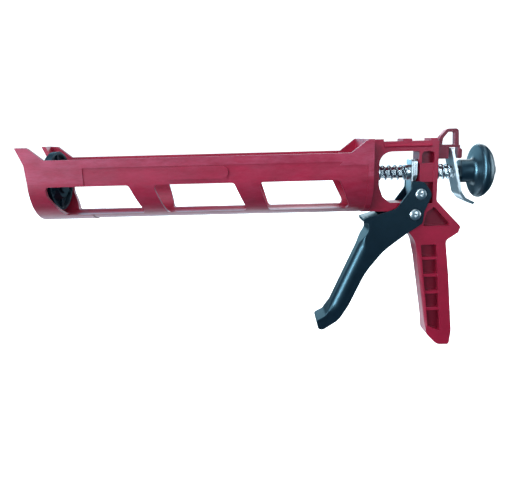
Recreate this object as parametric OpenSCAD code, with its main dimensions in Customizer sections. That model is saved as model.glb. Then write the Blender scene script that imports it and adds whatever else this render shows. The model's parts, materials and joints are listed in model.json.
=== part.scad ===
// Half-barrel caulking gun for a 310 ml cartridge. Millimetres.
// Origin: push-rod axis at the inner face of the front plate.
// +X runs back to the knob, -Y is the side with the rivet heads in view, +Z is up.

/* [Cradle] */
// Inner radius of the half barrel that the cartridge lies in
seat_r = 25.4; // [25.2:0.1:25.8]
// Length of the cartridge seat, front plate to rear wall
seat_len = 231.5; // [228:0.5:233]
// Thickness of the half barrel
barrel_t = 2.5; // [2:0.1:2.8]
// Height of the rim above the rod axis
rim_z = 16.2; // [15:0.2:17.4]
// Radius of the nozzle slot in the front plate
nozzle_r = 13.5; // [12:0.5:14.5]
// Width of the bars between the side windows
bar_w = 17; // [14:1:20]

/* [Rod and plunger] */
// Hexagon rod, across flats
rod_af = 7; // [6.6:0.1:7.2]
// Plunger radius
plunger_r = 21.5; // [20:0.5:22.5]
// Length of the plunger rim
plunger_len = 6.4; // [5.6:0.2:7.2]
// Radius of the pull knob
knob_r = 19.6; // [17:0.2:21]

/* [Body and handle] */
// Thickness of the body and handle
body_w = 16; // [15:0.5:17]
// Thickness of the web inside the handle pockets
web_t = 5; // [4:0.5:7]
// Number of rungs in the handle ladder
ladder_rungs = 4; // [3:1:6]

/* [Trigger] */
// Thickness of each trigger cheek
cheek_t = 2.2; // [1.8:0.1:2.6]
// Radius of both rivet heads
rivet_head_r = 4.1; // [3.8:0.1:4.6]
// Radius of the sleeve that pushes the drive plates
sleeve_r = 4.8; // [4.2:0.1:4.8]

/* [Plates and springs] */
// Thickness of one drive plate
plate_t = 1.45; // [1.3:0.05:1.5]
// Lean of the release plate from upright, in degrees
release_lean = 13; // [10:0.5:14]
// Wire diameter of the springs
wire_d = 1.2; // [1:0.1:1.3]

/* [Hidden] */
$fn = 96;
arc_steps = 6;
eps = 0.01;
far = 60;

red = "#9c1f38";
black = "#15191f";
zinc = "#c9ced3";

// Cradle
front_t = 4;
rear_t = 4;
barrel_r = seat_r + barrel_t;
rim_r = barrel_r + 0.5;
band_z = 10.4;
window_top = -2.2;
window_bottom = -23.4;
window_lean = 7;
window_pitch = 73.2;
window_x = 9.5;
cradle_end = seat_len + rear_t;
shoulder_z = 25.1;
collar_end = 35;
ear_z = 25;

// Rod guides, plunger and knob
guide_af = rod_af + 0.16;
rod_r = rod_af / 2 / cos(30);
plate_hole_r = rod_r + 0.1;
thread_r = 3;
plunger_x = 2.6;
recess_x = 7;
hub_x = 10;
knob_x = 303.4;
knob_end = 326.6;

// Body: the drive window, the boss behind it and the rear face
window_front = 243.4;
boss_x = 272;
body_rear = 286;
rail_top = 22.8;
rail_bottom = 15.6;
boss_r = 6.8;
flange_x = 283;

// Trigger
pivot = [269.9, -30.3];
link = [273.6, -15.4];
pivot_r = 3;
link_r = 2.6;
running = 0.05;
cheek_gap = 0.3;
cheek_in = body_w / 2 + cheek_gap;
cheek_out = cheek_in + cheek_t;

// Drive plates, with the sleeve just behind the front plate's tongue
tongue_x = link.x - sleeve_r - 0.35;
plates_front = tongue_x - plate_t;
seat_washer_t = 2.6;
front_washer_t = 1;
coil_r = rod_r + 0.4 + wire_d / 2;

// Release plate
release_t = 2;
release_pivot = [296.2, 14.5];
release_hole_r = rod_r + 0.72;

// ---------------------------------------------------------------- helpers

// Extrudes a (Y, Z) outline along X
module along_x(x, length) translate([x, 0, 0]) rotate([90, 0, 90]) linear_extrude(length) children();

// Extrudes an (X, Z) outline across Y, from y0 to y1
module across_y(y0, y1) translate([0, y1, 0]) rotate([90, 0, 0]) linear_extrude(y1 - y0) children();

// Turns an (X, radius) outline about the rod axis
module turned() rotate([0, 90, 0]) rotate_extrude() children();

// Unit vector from a to b
function toward(a, b) = (b - a) / norm(b - a);

// Arc of radius r in the corner a-b-c
function corner_arc(a, b, c, r) =
    let (
        u = toward(b, a),
        v = toward(b, c),
        half = acos(u * v) / 2,
        centre = b + toward([0, 0], u + v) * r / sin(half),
        from = b + u * r / tan(half) - centre,
        to = b + v * r / tan(half) - centre,
        turn = sign(cross(from, to)) * (180 - 2 * half)
    )
    [for (i = [0:arc_steps])
        let (t = turn * i / arc_steps)
        centre + [from.x * cos(t) - from.y * sin(t), from.x * sin(t) + from.y * cos(t)]];

// Outline through corners given as [x, y, radius]
function rounded(corners) =
    let (n = len(corners), p = [for (c = corners) [c.x, c.y]])
    [for (i = [0:n - 1])
        each (corners[i][2] > 0
            ? corner_arc(p[(i + n - 1) % n], p[i], p[(i + 1) % n], corners[i][2])
            : [p[i]])];

// Hexagon bar along X with two flats upright
module hex_x(x, length, af) {
    translate([x, 0, 0]) rotate([0, 90, 0]) cylinder(h = length, r = af / 2 / cos(30), $fn = 6);
}

// Washer or drilled disc across the rod axis
module disc_x(x, thickness, r, hole_r) {
    difference() {
        translate([x, 0, 0]) rotate([0, 90, 0]) cylinder(h = thickness, r = r);
        translate([x - 1, 0, 0]) rotate([0, 90, 0]) cylinder(h = thickness + 2, r = hole_r);
    }
}

// Round hole or pin across the gun at an (X, Z) place
module pin_y(at, r, half_w) {
    translate([at.x, half_w, at.y]) rotate([90, 0, 0]) cylinder(h = 2 * half_w, r = r);
}

// Rivet across the gun with a domed head on each side
module rivet_y(at, shank_r, half_w) {
    head_t = 1.9;
    dome_r = (pow(rivet_head_r, 2) + pow(head_t, 2)) / 2 / head_t;
    pin_y(at, shank_r, half_w + eps);
    for (side = [-1, 1])
        intersection() {
            translate([at.x, side * (half_w + head_t - dome_r), at.y]) sphere(r = dome_r);
            translate([at.x, 0, at.y]) rotate([-90 * side, 0, 0])
                translate([0, 0, half_w]) cylinder(h = head_t + 1, r = rivet_head_r);
        }
}

// Coil spring on the rod axis, with a flat turn at each end
module coil_x(x, length, turns, mean_r, wire) {
    sides = 8;
    per_turn = 20;
    rings = turns * per_turn;
    travel = length - wire;
    dead = 0.12;
    centres = [for (i = [0:rings])
        let (s = i / rings, a = 360 * i / per_turn, k = min(1, max(0, (s - dead) / (1 - 2 * dead))))
        [x + wire / 2 + travel * k, mean_r * cos(a), mean_r * sin(a)]];
    points = [for (i = [0:rings], j = [0:sides - 1])
        let (a = 360 * i / per_turn, b = 360 * j / sides)
        centres[i] + wire / 2 * [sin(b), cos(b) * cos(a), cos(b) * sin(a)]];
    wall = [for (i = [0:rings - 1], j = [0:sides - 1])
        let (p = i * sides, k = (j + 1) % sides)
        [p + j, p + k, p + sides + k, p + sides + j]];
    start = [for (j = [sides - 1:-1:0]) j];
    finish = [for (j = [0:sides - 1]) rings * sides + j];
    polyhedron(points, concat([start, finish], wall), convexity = 10);
}

// ---------------------------------------------------------------- frame

// Half-barrel section: round below the axis, upright above it
module barrel_section(inner, outer, top) {
    difference() {
        union() {
            circle(outer);
            translate([-outer, 0]) square([2 * outer, top]);
        }
        circle(inner);
        translate([-inner, 0]) square([2 * inner, top + 1]);
        translate([-far, top]) square([2 * far, far]);
    }
}

// Solid half-barrel outline that closes an end
module end_outline(top) {
    intersection() {
        union() {
            circle(rim_r);
            translate([-rim_r, 0]) square([2 * rim_r, top]);
        }
        translate([-far, -far]) square([2 * far, far + top]);
    }
}

// One leaning side window; the first one starts upright and then sweeps back
module window_outline(first) {
    span = window_pitch - bar_w;
    corner_r = 2.5;
    front = first
        ? [[-1.4, window_top, corner_r], [-1.4, -9.5, 9], [6.4, window_bottom, corner_r]]
        : [[0, window_top, corner_r], [window_lean, window_bottom, corner_r]];
    polygon(rounded(concat(front, [
        [span + window_lean + 2, window_bottom, corner_r],
        [span, window_top, corner_r],
    ])));
}

// Ear at the top front corner, its flared lip and the shoulder at the back
module side_ears(side) {
    y0 = side > 0 ? seat_r : -rim_r;
    across_y(y0, y0 + rim_r - seat_r) {
        polygon([[-4, 0], [-5, 13], [-10, ear_z], [-1.5, ear_z - 0.4], [9, rim_z - 0.2], [9, 2]]);
        polygon([[212, 8], [219.6, rim_z - 0.2], [231.5, shoulder_z],
                 [cradle_end, shoulder_z], [cradle_end, 8]]);
    }
    lip_y = side > 0 ? nozzle_r + 2 : -rim_r;
    across_y(lip_y, lip_y + rim_r - nozzle_r - 2)
        polygon([[-4, 8], [-5, 13], [-10, ear_z], [-7, ear_z], [-1.6, 13], [0, 8]]);
}

// Raised blank label pad on the side rail
module label_pad(side) {
    end_r = 4.5;
    pad_z = 5.4;
    across_y(side > 0 ? barrel_r - 1 : -rim_r - 0.4, side > 0 ? rim_r + 0.4 : 1 - barrel_r) {
        translate([94, pad_z - end_r]) square([37, 2 * end_r]);
        translate([131, pad_z]) circle(end_r);
    }
}

module cradle_casting() color(red) difference() {
    union() {
        along_x(-front_t, cradle_end + front_t) barrel_section(seat_r, barrel_r, rim_z);
        along_x(-front_t, cradle_end + front_t) intersection() {
            barrel_section(seat_r, rim_r, rim_z);
            translate([-far, band_z]) square([2 * far, far]);
        }
        along_x(-front_t, collar_end + front_t) barrel_section(seat_r, rim_r, band_z + 1);
        along_x(-front_t, front_t) end_outline(rim_z);
        along_x(seat_len, rear_t) end_outline(shoulder_z);
        for (side = [-1, 1]) {
            side_ears(side);
            label_pad(side);
        }
    }
    for (i = [0:2])
        translate([window_x + i * window_pitch, 0, 0])
            across_y(-far, far) window_outline(i == 0);
    translate([-far / 2, 0, 0]) rotate([0, 90, 0]) cylinder(h = far / 2 + 1, r = nozzle_r);
    translate([-far / 2, -nozzle_r, 0]) cube([far / 2 + 1, 2 * nozzle_r, far]);
    hex_x(seat_len - 1, rear_t + 2, guide_af);
}

// Side outline of the body and handle
body_corners = [
    [cradle_end, rail_top, 0], [body_rear, rail_top, 0.8], [body_rear, -20.8, 4],
    [304.6, -40.4, 1.6], [303.2, -44.8, 2], [294, -50.8, 4],
    [297.4, -78, 80], [301.4, -122, 20], [300.2, -133.2, 1.8], [291, -133.2, 7],
    [282.6, -124.5, 7], [275.9, -80, 60], [271.4, -50, 16], [262, -39, 5],
    [258.5, -28, 3], [cradle_end, -27.4, 0],
];

// Drive window, stepped back under the boss to clear the sleeve
module drive_window() {
    polygon(rounded([
        [window_front, rail_bottom, 9], [boss_x, rail_bottom, 1], [boss_x, -7.4, 1],
        [279, -7.4, 2], [279, -21.5, 3], [251.5, -21.5, 3], [246.2, -16.8, 4], [window_front, -9, 8],
    ]));
}

// Handle pockets: above and below the boss, the triangle and the ladder
module handle_pockets() {
    lip = 2;
    translate([boss_x - 1, -22.5]) square([flange_x - boss_x + 1, 22.5 + boss_r]);
    polygon(rounded([[boss_x + lip, 0, 0], [boss_x + lip, rail_bottom - 0.4, 2.5],
                     [flange_x, rail_bottom - 0.4, 2.5], [flange_x, 0, 0]]));
    polygon(rounded([[284.6, -25.2, 1], [297.6, -39.4, 1], [276.6, -39.4, 1], [279, -29, 1]]));
    ladder_outline();
}

module ladder_outline() {
    polygon(rounded([[275.6, -53.6, 0.8], [287.2, -53.6, 0.8], [293, -122, 0.8], [283.4, -118, 0.8]]));
}

// Lug under the hanging loop; the loop's rear leg ends in a nub, and the release
// plate's top rocks in the notch between them
module lug_and_loop() {
    lug_w = 10;
    loop_w = 5.4;
    nub_w = 8;
    across_y(-lug_w / 2, lug_w / 2)
        polygon([[body_rear - 2, 9.4], [294.2, 9.4], [294.2, 18.6], [body_rear - 2, 18.6]]);
    across_y(-nub_w / 2, nub_w / 2)
        polygon(rounded([[301.6, 9.4, 0.4], [304.2, 9.4, 1.2], [304.2, 15.8, 1.2], [301.6, 17.6, 0.4]]));
    across_y(-loop_w / 2, loop_w / 2) difference() {
        union() {
            polygon(rounded([[286.8, 17.4, 0.2], [288, 25, 6], [293, 30.8, 4],
                             [301.4, 30.8, 2.4], [302.2, 17.4, 0.2]]));
            translate([300, 12]) square([3, 7]);
        }
        polygon(rounded([[289.8, 19.4, 0.6], [290.4, 24, 4], [294, 28.4, 1.5],
                         [298.9, 28.4, 1], [299.2, 19.4, 0.6]]));
        // Notch for the release plate's top
        translate([294.2, 0]) square([7.4, 17.4]);
    }
}

module handle_casting() color(red) difference() {
    half_w = body_w / 2;
    union() {
        difference() {
            across_y(-half_w, half_w) polygon(rounded(body_corners));
            across_y(-far, far) drive_window();
            for (side = [-1, 1])
                across_y(side > 0 ? web_t / 2 : -far, side > 0 ? far : -web_t / 2) handle_pockets();
        }
        // Rungs of the ladder stand a little below the handle's face
        across_y(1 - half_w, half_w - 1) intersection() {
            ladder_outline();
            for (i = [1:ladder_rungs])
                translate([270, -52 - i * 66.8 / (ladder_rungs + 1)]) square([30, 2.2]);
        }
        // Square boss that guides the rod
        across_y(0.6 - half_w, half_w - 0.6) translate([boss_x + 1, -boss_r])
            square([flange_x - boss_x, 2 * boss_r]);
        // Pads and side beads of the top rail
        for (pad = [[236.5, 9.8], [260, 6.6], [280, 5.2]])
            translate([pad.x, -half_w, rail_top - 1]) cube([pad.y, body_w, 2.7]);
        for (side = [-1, 1])
            translate([247, side * half_w, 19.6]) rotate([0, 90, 0]) cylinder(h = 34, r = 1.1);
        lug_and_loop();
    }
    hex_x(cradle_end - 1, body_rear - cradle_end + 2, guide_af);
    pin_y(pivot, pivot_r + running, far);
}

module trigger_pivot_rivet() color(zinc) rivet_y(pivot, pivot_r, cheek_out + 0.1);

// ---------------------------------------------------------------- trigger

// Side outline of the trigger, clockwise from the finger stop
trigger_corners = [
    [232.2, -32.7, 0.8], [244.5, -29.4, 5], [256.4, -25.6, 8], [266.8, -11.5, 4],
    [266.8, -6, 1.2], [275.4, -6, 6], [282, -15.4, 5], [276.4, -28.6, 10],
    [275.8, -36.8, 4], [263.4, -45, 6], [247.4, -57.2, 40], [234, -73.6, 60], [221.8, -99.1, 50],
    [214.2, -110.8, 20], [201.8, -118.6, 4], [198.6, -117.4, 1.2], [197.2, -110.8, 2],
    [204.2, -107, 4], [230.6, -50.2, 30], [236.4, -41.6, 6], [236, -36, 1],
    [232.8, -35.5, 0.8],
];

// Channel between the cheeks, open at the back and the top
trigger_channel = [
    [245, 10, 0], [245, -27, 0], [240.6, -35.6, 3], [240.6, -43.6, 6], [234.2, -52.6, 20],
    [210.8, -102.6, 3], [222, -112, 0], [300, -90, 0], [300, 10, 0],
];

module trigger_lever() color(black) difference() {
    across_y(-cheek_out, cheek_out) polygon(rounded(trigger_corners));
    across_y(-cheek_in, cheek_in) polygon(rounded(trigger_channel));
    pin_y(pivot, pivot_r + running, far);
    pin_y(link, link_r + running, far);
}

module link_rivet() color(zinc) rivet_y(link, link_r, cheek_out + 0.02);

module drive_sleeve() color(zinc) difference() {
    pin_y(link, sleeve_r, cheek_in - 0.02);
    pin_y(link, link_r + running, far);
}

// ---------------------------------------------------------------- drive

// Drilled drive plate, with an optional tongue that reaches down to the sleeve
module drive_plate(x, low) {
    top = 9.4;
    half = 7;
    difference() {
        along_x(x, plate_t) polygon(rounded([
            [-half, top, 2], [half, top, 2], [half, low + 3, 3],
            [half - 3, low, 1], [3 - half, low, 1], [-half, low + 3, 3],
        ]));
        translate([x - 1, 0, 0]) rotate([0, 90, 0]) cylinder(h = plate_t + 2, r = plate_hole_r);
    }
}

module drive_plate_front() color(zinc) drive_plate(plates_front, -18);

module drive_plate_middle() color(zinc) drive_plate(tongue_x, -6);

module drive_plate_rear() color(zinc) drive_plate(tongue_x + plate_t, -6);

module spring_seat_washer() color(zinc)
    disc_x(plates_front - seat_washer_t, seat_washer_t, 5.8, plate_hole_r);

module spring_front_washer() color(zinc)
    disc_x(window_front, front_washer_t, 6.2, plate_hole_r + 0.2);

module drive_spring() color(zinc) {
    start = window_front + front_washer_t;
    coil_x(start, plates_front - seat_washer_t - start, 5.5, coil_r, wire_d);
}

// ---------------------------------------------------------------- release

// Bent release plate in its own plane, seen from the side: straight, then a thumb tail
module release_side() {
    bend = 31;
    polygon([[-release_t / 2, 2.4], [-release_t / 2, -bend], [1.6, -bend - 5.4], [8.4, -bend - 11],
             [9.6, -bend - 9.5], [3.4, -bend - 4.4], [release_t / 2, -bend + 0.6], [release_t / 2, 2.4]]);
}

module release_plate() color(zinc)
    translate([release_pivot.x, 0, release_pivot.y]) rotate([0, -release_lean, 0]) difference() {
        intersection() {
            across_y(-9, 9) release_side();
            along_x(-far, 2 * far) polygon(rounded([
                [-8.6, 3, 2], [8.6, 3, 2], [8.6, -30, 12], [6.6, -43, 5], [-6.6, -43, 5], [-8.6, -30, 12],
            ]));
        }
        translate([-far, 0, -release_pivot.y / cos(release_lean)])
            rotate([0, 90, 0]) cylinder(h = 2 * far, r = release_hole_r);
    }

module release_spring() color(zinc) coil_x(body_rear + 0.2, 10.4, 3, coil_r + 0.2, wire_d - 0.1);

// ---------------------------------------------------------------- rod, plunger and knob

module push_rod() color(zinc) {
    shoulder = hub_x + 1.5;
    hex_x(shoulder, knob_x - shoulder, rod_af);
    translate([3.4, 0, 0]) rotate([0, 90, 0]) cylinder(h = shoulder - 3.4 + eps, r = thread_r);
    translate([knob_x - eps, 0, 0]) rotate([0, 90, 0]) cylinder(h = 17, r = thread_r);
}

// Plunger: dished front, stepped back and six short ribs behind the rim
module plunger_cup() color(black) {
    rear = plunger_x + plunger_len;
    back_x = rear - 3;
    turned() polygon([
        [thread_r + running, hub_x], [thread_r + running, recess_x],
        [11, recess_x], [14, plunger_x], [plunger_r - 2, plunger_x],
        [plunger_r - 0.4, plunger_x + 1.6], [plunger_r, rear],
        [plunger_r - 1.8, rear], [plunger_r - 2.4, back_x], [15, back_x], [12, hub_x],
    ]);
    for (i = [0:5])
        rotate([60 * i, 0, 0]) translate([back_x - 0.5, -0.9, 13])
            cube([2.7, 1.8, plunger_r - 14.9]);
}

module plunger_backing_washer() color(black) disc_x(hub_x, 1.5, 9, thread_r + running);

module plunger_front_washer() color(zinc) disc_x(recess_x - 1, 1, 9, thread_r + running);

module plunger_nut() color(zinc) difference() {
    hex_x(recess_x - 4, 3, 10);
    rotate([0, 90, 0]) cylinder(h = 10, r = thread_r + running);
}

// Mushroom pull knob
module rear_knob() color(black) difference() {
    turned() polygon([
        [0, knob_x], [7.6, knob_x], [8.4, knob_x + 0.8], [8.4, knob_x + 8.8],
        [10.4, knob_x + 10.6], [knob_r - 2.4, knob_x + 11.4], [knob_r - 0.5, knob_x + 12.3],
        [knob_r, knob_x + 14.4], [knob_r - 0.5, knob_x + 17.2], [knob_r - 3, knob_x + 19.8],
        [13, knob_x + 21.8], [8, knob_x + 22.7], [7, knob_end - 0.3], [6.4, knob_end], [0, knob_end],
    ]);
    translate([knob_x - 1, 0, 0]) rotate([0, 90, 0]) cylinder(h = 30, r = thread_r + running);
    translate([knob_x + 17, 0, 0]) rotate([0, 90, 0]) cylinder(h = 30, r = thread_r + running);
}

module knob_washer() color(zinc) disc_x(knob_end, 0.8, 6.2, thread_r + running);

module knob_screw() color(black) {
    head_x = knob_end + 0.8;
    translate([knob_x + 17.2, 0, 0]) rotate([0, 90, 0])
        cylinder(h = head_x - knob_x - 17.2 + eps, r = thread_r);
    difference() {
        turned() polygon([[0, head_x], [5.6, head_x], [5.6, head_x + 1.2], [4.4, head_x + 2],
                          [0, head_x + 2]]);
        hex_x(head_x + 0.7, 5, 4);
    }
}

cradle_casting();
handle_casting();
trigger_pivot_rivet();
trigger_lever();
link_rivet();
drive_sleeve();
drive_plate_front();
drive_plate_middle();
drive_plate_rear();
spring_seat_washer();
spring_front_washer();
drive_spring();
release_plate();
release_spring();
push_rod();
plunger_cup();
plunger_backing_washer();
plunger_front_washer();
plunger_nut();
rear_knob();
knob_washer();
knob_screw();
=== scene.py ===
"""A half-barrel caulking gun: red die casting, black trigger and knob, bright steel mechanism."""

import json
import math

import bmesh
import bpy
from mathutils import Euler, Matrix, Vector
from mathutils.bvhtree import BVHTree


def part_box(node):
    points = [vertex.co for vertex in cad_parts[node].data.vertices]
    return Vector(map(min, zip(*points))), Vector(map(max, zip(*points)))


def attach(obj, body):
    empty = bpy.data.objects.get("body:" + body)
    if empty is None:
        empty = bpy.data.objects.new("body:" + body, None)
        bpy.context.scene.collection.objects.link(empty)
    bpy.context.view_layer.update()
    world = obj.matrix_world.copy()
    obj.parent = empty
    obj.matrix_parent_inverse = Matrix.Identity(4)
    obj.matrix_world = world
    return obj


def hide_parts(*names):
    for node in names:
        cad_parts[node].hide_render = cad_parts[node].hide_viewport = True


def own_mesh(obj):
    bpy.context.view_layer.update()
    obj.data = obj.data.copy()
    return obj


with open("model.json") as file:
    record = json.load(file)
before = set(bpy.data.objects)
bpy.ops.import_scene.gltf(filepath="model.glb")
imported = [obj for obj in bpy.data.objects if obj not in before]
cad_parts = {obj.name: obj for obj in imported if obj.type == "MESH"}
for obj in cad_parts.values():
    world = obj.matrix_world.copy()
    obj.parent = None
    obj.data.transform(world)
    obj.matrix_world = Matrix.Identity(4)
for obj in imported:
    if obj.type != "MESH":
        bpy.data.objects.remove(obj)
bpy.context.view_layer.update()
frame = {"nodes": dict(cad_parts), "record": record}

MM = 0.001
NODES = frame["nodes"]
RECORD = frame["record"]
BODY_OF = {n: b for b, ns in RECORD["behaviour"]["bodies"].items() for n in ns}
SLOT_OF = {s["node"]: s["material_slot"] for s in RECORD["subparts"]}


# ---------------------------------------------------------------- materials

class Graph:
    """A short way to write one material's node graph."""

    def __init__(self, name):
        self.material = bpy.data.materials.new(name)
        self.material.use_nodes = True
        self.tree = self.material.node_tree
        self.shader = self.tree.nodes["Principled BSDF"]

    def node(self, kind, **settings):
        made = self.tree.nodes.new("ShaderNode" + kind)
        for key, value in settings.items():
            if hasattr(made, key):
                setattr(made, key, value)
            else:
                made.inputs[key].default_value = value
        return made

    def link(self, source, target):
        self.tree.links.new(source, target)

    def noise(self, where, scale, detail=3, roughness=0.55, distortion=0):
        made = self.node("TexNoise", Scale=scale, Detail=detail, Roughness=roughness, Distortion=distortion)
        self.link(where, made.inputs["Vector"])
        return made.outputs["Fac"]

    def spread(self, value, low, high, to_low=0.0, to_high=1.0):
        """Stretches the part of a value between low and high."""
        made = self.node("MapRange", clamp=True)
        for key, number in (("From Min", low), ("From Max", high), ("To Min", to_low), ("To Max", to_high)):
            made.inputs[key].default_value = number
        self.link(value, made.inputs["Value"])
        return made.outputs["Result"]

    def maths(self, operation, a, b):
        made = self.node("Math", operation=operation)
        for socket, value in zip(made.inputs, (a, b)):
            if isinstance(value, (int, float)):
                socket.default_value = value
            else:
                self.link(value, socket)
        return made.outputs[0]

    def mix(self, amount, a, b):
        made = self.node("Mix", data_type="RGBA")
        self.link(amount, made.inputs["Factor"])
        for socket, value in ((made.inputs[6], a), (made.inputs[7], b)):
            if isinstance(value, tuple):
                socket.default_value = (*value, 1)
            else:
                self.link(value, socket)
        return made.outputs[2]

    def bump(self, height, distance, under=None):
        made = self.node("Bump", Distance=distance, Strength=1.0)
        self.link(height, made.inputs["Height"])
        if under:
            self.link(under, made.inputs["Normal"])
        return made.outputs["Normal"]


def surface(name, base, tint, rough, edge, metallic=0.0, grain=(2400, 0.012), wave=(420, 0.01),
            stretch=(1, 1, 1), wear=(0.45, 0.62), scuff=0.12, specular=0.5,
            tint_of_gloss=(1, 1, 1), shade=None):
    """A finish: broad colour change, scuffs, fine grain, a slow wave, wear with a painted highlight on the
    edges, and painted shade.

    edge is (colour, roughness, metallic) on the marked edges and faces, which stands for worn
    paint and, on the red, also for a painted highlight and sheen; grain and wave are
    (scale per metre, depth in mm); stretch draws the pattern out along an axis; wear is
    the part of the noise over which rubbing sets in; shade is the colour of the painted
    shade on the handle's pocket floors.
    """
    g = Graph(name)
    place = g.node("TexCoord").outputs["Object"]
    drawn = g.node("Mapping")
    drawn.inputs["Scale"].default_value = stretch
    g.link(place, drawn.inputs["Vector"])
    drawn = drawn.outputs["Vector"]

    broad = g.maths("ADD", g.spread(g.noise(place, 26, 4, 0.6), 0.36, 0.66, 0.0, 0.55),
                    g.spread(g.noise(drawn, 190, 4, 0.65), 0.36, 0.68, 0.0, 0.45))
    fine = g.noise(drawn, grain[0], 3, 0.6)
    slow = g.noise(drawn, wave[0], 3, 0.5)
    scuffs = g.spread(g.noise(place, 310, 5, 0.7, 0.6), 0.55, 0.8)
    # Marked edges and faces: worn paint, and on the red also a painted highlight and sheen
    wear_and_sheen = g.node("Attribute", attribute_name="edge").outputs["Fac"]
    wear_and_sheen = g.maths("MULTIPLY", wear_and_sheen, g.spread(g.noise(drawn, 230, 5, 0.7), *wear))

    colour = g.mix(broad, base, tint)
    speck = g.spread(fine, 0.3, 0.75, 0.0, 0.35)
    colour = g.mix(speck, colour, tuple(min(1, 1.35 * c + 0.0015) for c in base))
    # Painted shade on the handle's pocket floors
    if shade:
        pocket_shade = g.node("Attribute", attribute_name="pocket_shade").outputs["Fac"]
        colour = g.mix(g.maths("MULTIPLY", pocket_shade, g.spread(scuffs, 0, 1, 0.75, 0.5)), colour, shade)
    colour = g.mix(wear_and_sheen, colour, edge[0])
    g.link(colour, g.shader.inputs["Base Color"])

    roughness = g.maths("ADD", g.spread(broad, 0, 1, rough - 0.03, rough + 0.04),
                        g.maths("MULTIPLY", scuffs, scuff))
    worn = g.node("Mix", data_type="FLOAT")
    g.link(wear_and_sheen, worn.inputs["Factor"])
    g.link(roughness, worn.inputs[2])
    worn.inputs[3].default_value = edge[1]
    g.link(worn.outputs[0], g.shader.inputs["Roughness"])
    if edge[2] != metallic:
        metal = g.spread(wear_and_sheen, 0, 1, metallic, edge[2])
        g.link(metal, g.shader.inputs["Metallic"])
    else:
        g.shader.inputs["Metallic"].default_value = metallic
    g.shader.inputs["Specular IOR Level"].default_value = specular
    g.shader.inputs["Specular Tint"].default_value = (*tint_of_gloss, 1)

    normal = g.bump(slow, wave[1] * MM)
    g.link(g.bump(fine, grain[1] * MM, normal), g.shader.inputs["Normal"])
    return g.material


CRIMSON = (0.30, 0.008, 0.031)
DEEP_CRIMSON = (0.165, 0.004, 0.015)
# A lighter red for worn paint and a painted highlight and sheen
WEAR_AND_SHEEN_RED = (0.56, 0.15, 0.24)
# A dark red painted as shade on the handle's pocket floors
POCKET_SHADE_RED = (0.085, 0.004, 0.010)
INK = (0.002, 0.005, 0.009)
BLUE_INK = (0.003, 0.009, 0.017)
RUBBED_INK = (0.020, 0.042, 0.058)
BLUE_GLOSS = (0.42, 0.79, 1.0)
ZINC = (0.66, 0.71, 0.74)
BLUE_ZINC = (0.50, 0.57, 0.62)
BARE = (0.86, 0.88, 0.89)

MATERIALS = {
    "red_casting": surface(
        "crimson_paint", CRIMSON, DEEP_CRIMSON, 0.38, (WEAR_AND_SHEEN_RED, 0.34, 0.25),
        grain=(1500, 0.016), wave=(210, 0.03), stretch=(0.3, 1, 1), wear=(0.25, 0.70), specular=0.34,
        tint_of_gloss=(0.72, 0.84, 1.0), shade=POCKET_SHADE_RED,
    ),
    "black_nylon": surface(
        "black_nylon", INK, BLUE_INK, 0.36, (RUBBED_INK, 0.38, 0.0),
        grain=(3200, 0.004), wave=(160, 0.02), scuff=0.10, specular=0.40, tint_of_gloss=BLUE_GLOSS,
    ),
    "black_plunger": surface(
        "black_plunger", INK, BLUE_INK, 0.44, (RUBBED_INK, 0.40, 0.0),
        grain=(2600, 0.008), wave=(240, 0.015), tint_of_gloss=BLUE_GLOSS,
    ),
    "black_knob": surface(
        "black_knob", INK, BLUE_INK, 0.36, (RUBBED_INK, 0.40, 0.0),
        grain=(3200, 0.003), wave=(180, 0.012), scuff=0.08, specular=0.85, tint_of_gloss=BLUE_GLOSS,
    ),
    "black_screw": surface(
        "black_oxide", (0.035, 0.037, 0.042), (0.022, 0.024, 0.03), 0.34, ((0.3, 0.31, 0.33), 0.3, 1.0),
        metallic=1.0, grain=(3000, 0.006), wave=(900, 0.006),
    ),
    "zinc_steel": surface(
        "bright_zinc", ZINC, BLUE_ZINC, 0.3, (BARE, 0.24, 1.0),
        metallic=1.0, grain=(2600, 0.003), wave=(500, 0.004),
    ),
    "plate_steel": surface(
        "plate_zinc", ZINC, BLUE_ZINC, 0.33, (BARE, 0.25, 1.0),
        metallic=1.0, grain=(1500, 0.003), wave=(300, 0.004), stretch=(1, 1, 0.12),
    ),
    "spring_steel": surface(
        "spring_wire", (0.56, 0.62, 0.66), (0.36, 0.43, 0.48), 0.24, (BARE, 0.2, 1.0),
        metallic=1.0, grain=(2800, 0.005), wave=(800, 0.008),
    ),
    "rod_steel": surface(
        "drawn_rod", (0.62, 0.66, 0.69), (0.48, 0.53, 0.57), 0.22, (BARE, 0.2, 1.0),
        metallic=1.0, grain=(1600, 0.009), wave=(500, 0.012), stretch=(0.04, 1, 1),
    ),
}


# ---------------------------------------------------------------- pieces

def new_piece(name, bm):
    """Makes an object from a bmesh and links it to the scene."""
    mesh = bpy.data.meshes.new(name)
    bm.normal_update()
    bm.to_mesh(mesh)
    bm.free()
    obj = bpy.data.objects.new(name, mesh)
    bpy.context.scene.collection.objects.link(obj)
    return obj


def smooth(obj, angle=35):
    """Shades smooth, with creases sharper than the angle kept."""
    for face in obj.data.polygons:
        face.use_smooth = True
    obj.data.set_sharp_from_angle(angle=math.radians(angle))


def flat_faces(obj):
    """Keeps the large faces flat in the shading, so only the rounded edges turn."""
    even = obj.modifiers.new("even_faces", "WEIGHTED_NORMAL")
    even.keep_sharp = True
    even.weight = 100


def stand_for(obj, node):
    """Gives a piece its node's finish and body, and hides the node."""
    obj.data.materials.append(MATERIALS[SLOT_OF[node]])
    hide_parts(node)
    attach(obj, BODY_OF[node])
    return obj


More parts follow.
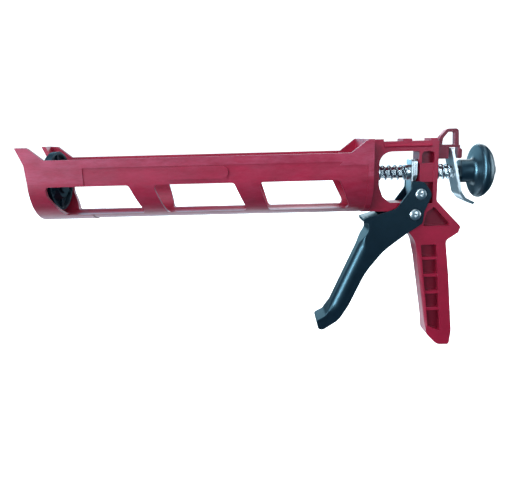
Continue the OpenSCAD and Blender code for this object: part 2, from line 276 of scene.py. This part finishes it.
def cleaned(node):
    """A bmesh of a CAD node with its seams closed and its flat faces joined up."""
    seam, flat = 0.004 * MM, math.radians(0.6)
    bm = bmesh.new()
    bm.from_mesh(NODES[node].data)
    bmesh.ops.remove_doubles(bm, verts=bm.verts, dist=seam)
    bmesh.ops.dissolve_limit(bm, angle_limit=flat, verts=bm.verts, edges=bm.edges)
    return bm


# Where the barrel is painted lighter: worn paint with a painted sheen on its underside and proud rim and,
# less, a painted sheen on its sides
UNDERSIDE_Z = -24.5 * MM
RIM_FOOT_Z = 11 * MM
RIM_Y = 28.1 * MM
SIDE_Y = 12 * MM
RIM_AND_UNDERSIDE_WEAR_SHEEN = 0.28
SIDE_SHEEN = 0.12
# The floors of the handle's pockets lie nearer its middle plane than this; they get painted shade
POCKET_FLOOR_Y = 5 * MM


def mark_finish(node, bm, wear_and_sheen, pocket_shade):
    """Marks the faces of a casting for painted shade on the handle's pocket floors, and on the barrel for
    worn paint and a painted sheen.
    """
    for face in bm.faces:
        middle = face.calc_center_median()
        if node == "handle_casting" and abs(face.normal.y) > 0.9 and abs(middle.y) < POCKET_FLOOR_Y:
            # Painted shade on the pocket floors
            face[pocket_shade] = 1
        if node != "cradle_casting":
            continue
        on_rim = middle.z > RIM_FOOT_Z and abs(middle.y) > RIM_Y
        # Lighter paint on the barrel: wear and painted sheen on the underside and rim, painted sheen on the
        # outward sides
        if middle.z < UNDERSIDE_Z or on_rim:
            face[wear_and_sheen] = max(face[wear_and_sheen], RIM_AND_UNDERSIDE_WEAR_SHEEN)
        elif face.normal.y * middle.y > SIDE_Y:
            face[wear_and_sheen] = max(face[wear_and_sheen], SIDE_SHEEN)


def edge_angle(edge):
    """Angle between an edge's two faces, or nothing at an open edge."""
    return edge.calc_face_angle(0) if len(edge.link_faces) == 2 else 0


def bevelled(node, width, segments=3, angle=28):
    """A bmesh of a CAD node with its edges rounded, width in mm, and its faces marked for worn paint with a
    painted highlight and for painted shade.
    """
    bm = cleaned(node)
    wear_and_sheen = bm.faces.layers.float.new("edge")
    pocket_shade = bm.faces.layers.float.new("pocket_shade")
    edges = [e for e in bm.edges if edge_angle(e) > math.radians(angle)]
    made = bmesh.ops.bevel(
        bm, geom=edges, offset=width * MM, offset_type="OFFSET", segments=segments,
        profile=0.5, affect="EDGES", clamp_overlap=True,
    )
    # The rounded edges get worn paint and a painted edge highlight
    for face in made["faces"]:
        if face.is_valid:
            face[wear_and_sheen] = 1
    bm.normal_update()
    mark_finish(node, bm, wear_and_sheen, pocket_shade)
    return bm


def softened(node, width, fronts=()):
    """Stands for a CAD node: the same shape with rounded edges and finger sides."""
    bm = bevelled(node, width)
    cutters = [front_cutter(bm, *front) for front in fronts]
    obj = new_piece(node + "_soft", bm)
    for cutter in cutters:
        cut = obj.modifiers.new("finger_side", "BOOLEAN")
        cut.operation = "INTERSECT"
        cut.solver = "EXACT"
        cut.object = cutter
        result = obj.evaluated_get(bpy.context.evaluated_depsgraph_get())
        rounded = bpy.data.meshes.new_from_object(result)
        obj.modifiers.remove(cut)
        obj.data = rounded
        bpy.data.objects.remove(cutter)
    smooth(obj)
    flat_faces(obj)
    return stand_for(obj, node)


def front_cutter(bm, top, bottom, side, radius):
    """A block that leaves a part's front with round edges, from one (x, z) of it to another.

    The block's face follows the part's own front and turns back over radius at +-side.
    The part keeps what lies inside the block. Before and after the rounded stretch the
    block stands well clear of the part, and near its ends the radius runs out.
    """
    # Rows along the front, and steps round an edge
    count, arc_steps = 60, 8
    # The length over which the radius runs out, and the least radius
    taper, least_turn = 12 * MM, 0.3 * MM
    # How far the block stands off the part's front and its sides
    skin, side_gap = 0.02 * MM, 0.03 * MM
    # The block's width past the sides, and the gap before it steps clear of the part
    wing, step_off = 2 * MM, 1 * MM
    # Where the search for the front starts, and the block's far faces
    reach, outside, behind, beyond = 30 * MM, -0.15, 0.15, 0.2
    tree = BVHTree.FromBMesh(bm)
    start, end = Vector((top[0], 0, top[1])), Vector((bottom[0], 0, bottom[1]))
    length = (end - start).length
    down = (end - start).normalized()
    inward = Vector((-down.z, 0, down.x))
    rows = []
    for k in range(count + 1):
        along = length * k / count
        base = start + down * along
        hit = tree.ray_cast(base - inward * reach, inward)[0]
        ease = min(1, min(along, length - along) / taper)
        turn = max(least_turn, radius * ease * ease * (3 - 2 * ease))
        rows.append((along, (hit - base).dot(inward) - skin, turn))
    before = [(-beyond, outside, turn), (-step_off, outside, turn)]
    after = [(length + step_off, outside, turn), (length + beyond, outside, turn)]
    edge = side + side_gap
    section = [i / arc_steps for i in range(arc_steps + 1)]
    grid = []
    for along, face, turn in before + rows + after:
        half = [(edge + wing, turn + wing)]
        for part in reversed(section):
            angle = math.pi / 2 * part
            half.append((edge - turn + turn * math.sin(angle), turn - turn * math.cos(angle)))
        columns = [(-y, inset) for y, inset in half] + [(y, inset) for y, inset in reversed(half)]
        if face == outside:
            columns = [(y, 0) for y, _ in columns]
        ring = [(y, face + inset) for y, inset in columns]
        ring += [(edge + wing, behind), (-edge - wing, behind)]
        grid.append([start + down * along + inward * n + Vector((0, y, 0)) for y, n in ring])
    block = bmesh.new()
    made = [[block.verts.new(p) for p in ring] for ring in grid]
    for a, b in zip(made, made[1:]):
        for j in range(len(a)):
            k = (j + 1) % len(a)
            block.faces.new((a[j], a[k], b[k], b[j]))
    block.faces.new(made[0])
    block.faces.new(reversed(made[-1]))
    bmesh.ops.recalc_face_normals(block, faces=block.faces)
    return new_piece("cutter", block)


def turned(name, outline, turns, axis="X"):
    """A closed solid from (distance along the axis, radius) points, in metres."""
    at_axis, seam = 1e-6, 0.001 * MM
    bm = bmesh.new()
    rings = []
    for along, radius in outline:
        if radius < at_axis:
            rings.append([bm.verts.new((along, 0, 0))])
            continue
        rings.append([
            bm.verts.new((along, radius * math.cos(a), radius * math.sin(a)))
            for a in (2 * math.pi * i / turns for i in range(turns))
        ])
    for low, high in zip(rings, rings[1:]):
        for i in range(turns):
            j = (i + 1) % turns
            corners = [low[i % len(low)], low[j % len(low)], high[j % len(high)], high[i % len(high)]]
            corners = [v for k, v in enumerate(corners) if v not in corners[:k]]
            bm.faces.new(corners)
    if axis == "Y":
        for v in bm.verts:
            v.co = Vector((v.co.y, v.co.x, v.co.z))
    bmesh.ops.remove_doubles(bm, verts=bm.verts, dist=seam)
    bmesh.ops.recalc_face_normals(bm, faces=bm.faces)
    obj = new_piece(name, bm)
    smooth(obj, 40)
    return obj


def curve_through(points, steps=5):
    """A smooth run of points through the given ones."""
    made = []
    for i in range(len(points) - 1):
        p0 = points[max(i - 1, 0)]
        p1, p2 = points[i], points[i + 1]
        p3 = points[min(i + 2, len(points) - 1)]
        for k in range(steps):
            t = k / steps
            made.append(tuple(
                0.5 * (2 * b + (c - a) * t + (2 * a - 5 * b + 4 * c - d) * t * t
                       + (3 * b - a - 3 * c + d) * t * t * t)
                for a, b, c, d in zip(p0, p1, p2, p3)
            ))
    made.append(points[-1])
    return made


def knob():
    """The pull knob: a round stem that flares into a crowned disc."""
    low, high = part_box("rear_knob")
    start, length, radius = low[0], high[0] - low[0], high[2]
    stem, bore = 8.4 * MM, 3.1 * MM
    flare = curve_through([
        (8.0 * MM, stem), (9.4 * MM, stem + 0.5 * MM), (10.8 * MM, stem + 2.4 * MM),
        (11.5 * MM, radius - 5.0 * MM), (12.0 * MM, radius - 2.0 * MM), (12.9 * MM, radius - 0.6 * MM),
        (14.4 * MM, radius), (16.3 * MM, radius - 0.4 * MM), (18.4 * MM, radius - 1.9 * MM),
        (20.6 * MM, radius - 4.6 * MM), (21.9 * MM, radius - 8.0 * MM), (22.6 * MM, 8.2 * MM),
    ], 6)
    outline = [(0, bore), (0, stem - 1.0 * MM), (0.3 * MM, stem - 0.3 * MM), (1.0 * MM, stem)]
    outline += flare
    outline += [(length - 0.3 * MM, 7.4 * MM), (length, 6.9 * MM), (length, bore), (0, bore)]
    obj = turned("knob_moulding", [(start + x, r) for x, r in outline], 128)
    return stand_for(obj, "rear_knob")


def rivet(node, shank):
    """A rivet across the gun, with a domed, dimpled head on each side."""
    low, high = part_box(node)
    head = (high[0] - low[0]) / 2
    tall = 1.9 * MM
    dome = curve_through([
        (tall - 0.32 * MM, 0.0), (tall - 0.26 * MM, 0.7 * MM), (tall - 0.03 * MM, 1.15 * MM),
        (tall, 1.5 * MM), (tall * 0.86, head * 0.58), (tall * 0.56, head * 0.86),
        (tall * 0.2, head * 0.985), (0.0, head),
    ], 4)
    foot = high[1] - tall
    side = [(foot + along, radius) for along, radius in dome]
    outline = side + [(foot, shank), (-foot, shank)]
    outline += [(-along, radius) for along, radius in reversed(side)]
    obj = turned(node + "_formed", outline, 64, "Y")
    middle = Vector(((low[0] + high[0]) / 2, 0, (low[2] + high[2]) / 2))
    for v in obj.data.vertices:
        v.co += middle
    return stand_for(obj, node)


def coil(node, wire, turns):
    """A round-wire spring on the rod."""
    low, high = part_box(node)
    sides, per_turn, dead = 16, 40, 0.12
    radius = high[2] - wire / 2
    count = round(turns * per_turn)
    travel = high[0] - low[0] - wire
    bm = bmesh.new()
    rings = []
    for i in range(count + 1):
        turn = 2 * math.pi * i / per_turn
        part = min(1, max(0, (i / count - dead) / (1 - 2 * dead)))
        out = Vector((0, math.cos(turn), math.sin(turn)))
        middle = Vector((low[0] + wire / 2 + travel * part, 0, 0)) + radius * out
        rings.append([
            bm.verts.new(middle + wire / 2 * (Vector((math.sin(b), 0, 0)) + math.cos(b) * out))
            for b in (2 * math.pi * j / sides for j in range(sides))
        ])
    for a, b in zip(rings, rings[1:]):
        for j in range(sides):
            k = (j + 1) % sides
            bm.faces.new((a[j], b[j], b[k], a[k]))
    bm.faces.new(rings[0])
    bm.faces.new(reversed(rings[-1]))
    bmesh.ops.recalc_face_normals(bm, faces=bm.faces)
    obj = new_piece(node + "_wire", bm)
    smooth(obj, 50)
    stand_for(obj, node)
    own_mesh(obj)
    return obj


# ---------------------------------------------------------------- stage

def camera():
    """A viewpoint close to the gun's near side, a little above the rod."""
    data = bpy.data.cameras.new("camera")
    data.sensor_width = 36
    data.lens = 34.83
    data.clip_start = 0.01
    obj = bpy.data.objects.new("camera", data)
    obj.location = (0.161, -0.3793, 0.0294)
    obj.rotation_euler = Euler([math.radians(a) for a in (78.03, 1.454, 0.236)])
    bpy.context.scene.collection.objects.link(obj)
    bpy.context.scene.camera = obj


def paper(name, glow):
    """White studio paper with a faint fibre, which glows evenly."""
    g = Graph(name)
    place = g.node("TexCoord").outputs["Object"]
    fibre = g.noise(place, 900, 3)
    colour = g.mix(g.spread(fibre, 0.3, 0.7), (0.86, 0.86, 0.86), (0.9, 0.9, 0.9))
    g.link(colour, g.shader.inputs["Base Color"])
    g.shader.inputs["Roughness"].default_value = 0.9
    g.shader.inputs["Specular IOR Level"].default_value = 0.1
    g.shader.inputs["Emission Color"].default_value = (1, 1, 1, 1)
    g.shader.inputs["Emission Strength"].default_value = glow
    g.link(g.bump(fibre, 0.05 * MM), g.shader.inputs["Normal"])
    return g.material


def floor():
    """A pale round floor that curves up into a backdrop on all sides and closes overhead."""
    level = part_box("handle_casting")[0][2] - 0.2 * MM
    middle_x, reach, bend, arc_steps = 0.16, 2.6, 1.0, 8
    quarter = [math.radians(90 * i / arc_steps) for i in range(1, arc_steps + 1)]
    profile = [(0, 0), (reach - bend, 0)]
    for a in quarter:
        profile.append((reach - bend + bend * math.sin(a), bend - bend * math.cos(a)))
    for a in quarter[:-1]:
        profile.append((reach * math.cos(a), bend + reach * math.sin(a)))
    profile.append((0, bend + reach))
    obj = turned("floor", [(z, radius) for radius, z in profile], 72)
    for v in obj.data.vertices:
        v.co = Vector((v.co.z + middle_x, v.co.y, v.co.x + level))
    obj.data.flip_normals()
    smooth(obj, 180)
    obj.data.materials.append(paper("floor_paper", 1.0))
    # Only the camera sees the paper: it neither lights the gun nor shows in its reflections
    obj.visible_diffuse = False
    obj.visible_glossy = False
    obj.visible_shadow = False


# Where the softboxes point, the colour of the room and the two usual colours of the lamps
MIDDLE_OF_GUN = (0.17, 0, -0.02)
TEAL_ROOM = (0.24, 0.62, 0.9, 1)
COOL = (0.74, 0.92, 1)
DAYLIGHT = (0.84, 0.94, 1)


def softbox(name, place, size, power, colour, mirrored=True, lighting=True):
    """An area light aimed at the gun, which shows in reflections, lights surfaces, or both."""
    data = bpy.data.lights.new(name, "AREA")
    data.shape = "RECTANGLE"
    data.size, data.size_y = size
    data.energy = power
    data.color = colour
    obj = bpy.data.objects.new(name, data)
    obj.location = place
    aim = Vector(MIDDLE_OF_GUN) - Vector(place)
    obj.rotation_euler = aim.to_track_quat("-Z", "Y").to_euler()
    obj.visible_glossy = mirrored
    obj.visible_diffuse = lighting
    bpy.context.scene.collection.objects.link(obj)


def lights():
    """A dim teal room and cool softboxes."""
    world = bpy.data.worlds.new("world")
    world.use_nodes = True
    background = world.node_tree.nodes["Background"]
    background.inputs["Color"].default_value = TEAL_ROOM
    background.inputs["Strength"].default_value = 0.16
    bpy.context.scene.world = world
    bpy.context.scene.view_settings.view_transform = "Standard"

    # The key lights surfaces and isn't mirrored, and its small twin gives the glint
    softbox("key", (-0.28, -1.0, 0.24), (0.7, 0.5), 10.5, DAYLIGHT, mirrored=False)
    softbox("glint", (-0.28, -1.0, 0.24), (0.5, 0.4), 1.6, DAYLIGHT)
    # Over and under the gun
    softbox("top", (0.20, -0.05, 1.0), (1.2, 0.6), 5, (0.86, 0.96, 1))
    softbox("under", (-0.15, 0.50, -0.70), (1.2, 0.8), 7, (0.76, 0.92, 1))
    # Towards the nozzle end: one isn't mirrored, and the strip shows in reflections only
    softbox("left", (-0.95, -0.20, 0.04), (0.7, 0.8), 9, COOL, mirrored=False)
    softbox("strip", (-0.72, -0.42, 0.10), (0.30, 0.7), 34, COOL, lighting=False)
    softbox("high", (-0.55, -0.30, 0.75), (0.5, 0.4), 10, COOL)
    # The far side and the knob's end
    softbox("back", (-0.15, 1.25, 0.28), (1.5, 0.8), 6, (0.42, 0.80, 1))
    softbox("fill", (0.55, 1.10, 0.60), (0.9, 0.6), 7, (0.9, 0.97, 1))
    softbox("right", (1.35, 0.10, 0.15), (0.7, 0.7), 7, (0.86, 0.95, 1))
    softbox("edge", (0.62, -0.90, 0.22), (0.2, 0.5), 3.0, (0.8, 0.93, 1))


# ---------------------------------------------------------------- the gun

for node, obj in NODES.items():
    obj.data.materials.clear()
    obj.data.materials.append(MATERIALS[SLOT_OF[node]])

# How far each piece's edges are rounded, in mm
ROUNDING = {
    "cradle_casting": 0.55,
    "handle_casting": 0.7,
    "trigger_lever": 0.5,
    "drive_sleeve": 0.2,
    "drive_plate_front": 0.2,
    "drive_plate_middle": 0.2,
    "drive_plate_rear": 0.2,
    "spring_seat_washer": 0.25,
    "spring_front_washer": 0.15,
    "release_plate": 0.35,
    "push_rod": 0.25,
    "plunger_cup": 0.35,
    "plunger_backing_washer": 0.2,
    "plunger_front_washer": 0.15,
    "plunger_nut": 0.3,
    "knob_washer": 0.12,
    "knob_screw": 0.25,
}
# Finger sides: from and to (x, z), half width and edge radius
FRONTS = {
    "trigger_lever": [((0.2355, -0.0440), (0.2035, -0.1068), 10.5 * MM, 7.2 * MM)],
    "handle_casting": [((0.2722, -0.0530), (0.2822, -0.1240), 8.0 * MM, 3.2 * MM)],
}
for node, width in ROUNDING.items():
    softened(node, width, FRONTS.get(node, ()))
knob()
rivet("trigger_pivot_rivet", 3.0 * MM)
rivet("link_rivet", 2.6 * MM)
coil("drive_spring", 1.2 * MM, 5.5)
coil("release_spring", 1.1 * MM, 3)

camera()
floor()
lights()
